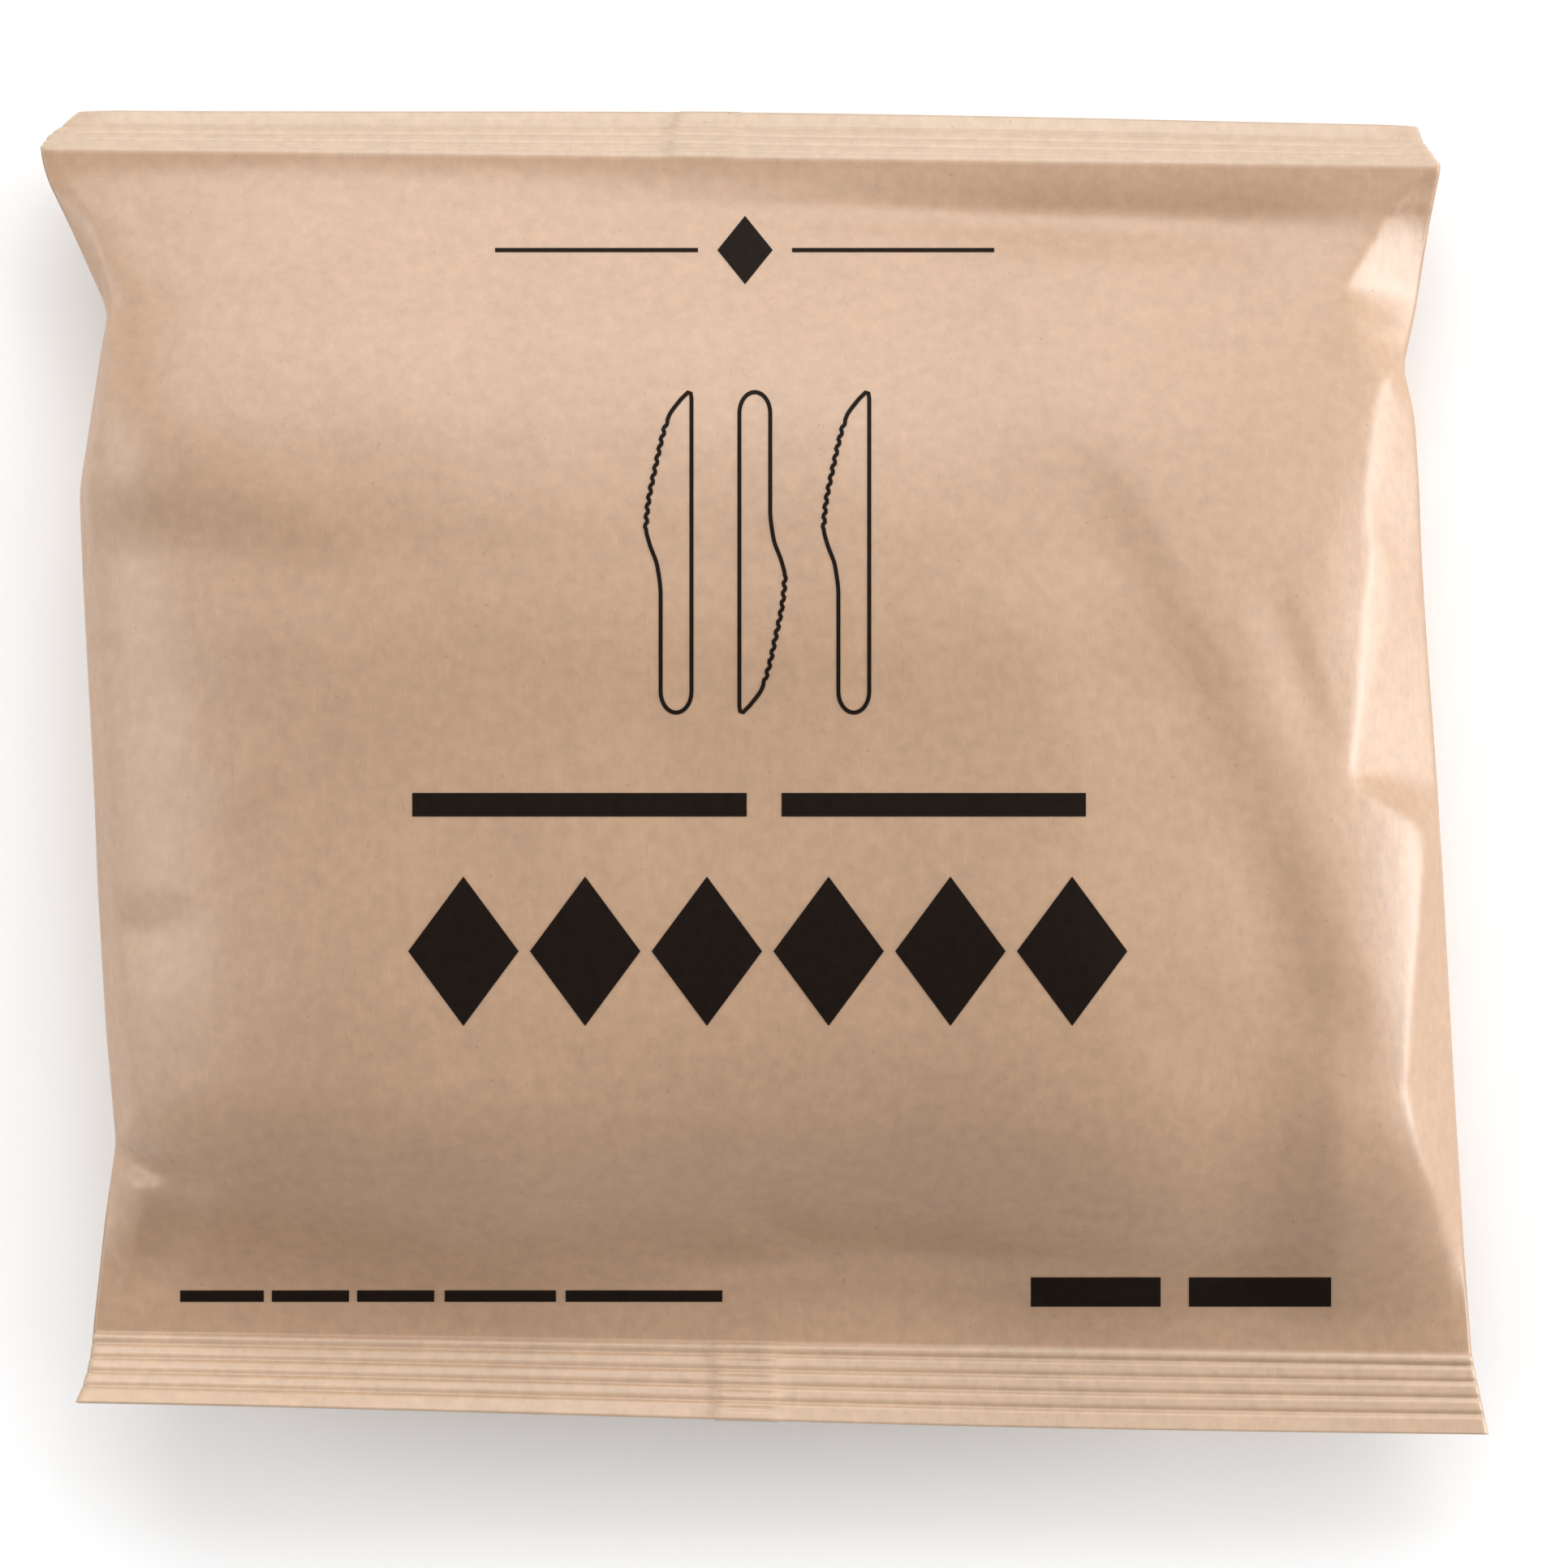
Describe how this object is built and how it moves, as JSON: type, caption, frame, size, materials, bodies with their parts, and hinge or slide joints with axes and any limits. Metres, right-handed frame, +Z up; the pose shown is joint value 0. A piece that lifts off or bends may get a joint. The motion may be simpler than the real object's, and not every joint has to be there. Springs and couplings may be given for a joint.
{
  "type": "sealed kraft paper pack of wooden cutlery",
  "caption": "Flat pillow-shaped pack of brown kraft paper with a ribbed seal at each end and a flap seam down its back, filled with a bundle of wooden knives.",
  "frame": {"origin": "middle of the pack's outline, on the surface that it lies on", "axes": "+X to the right across the front panel, +Y from the bottom seal to the top seal, +Z up out of the front panel"},
  "size_m": [0.206, 0.1896, 0.0427],
  "materials": {
    "kraft_paper": "matt brown kraft with a soft sheen",
    "printed_ink": "matt dark brown ink on the paper"
  },
  "bodies": {
    "root": {"paper_pack": "kraft_paper"}
  },
  "joints": []
}
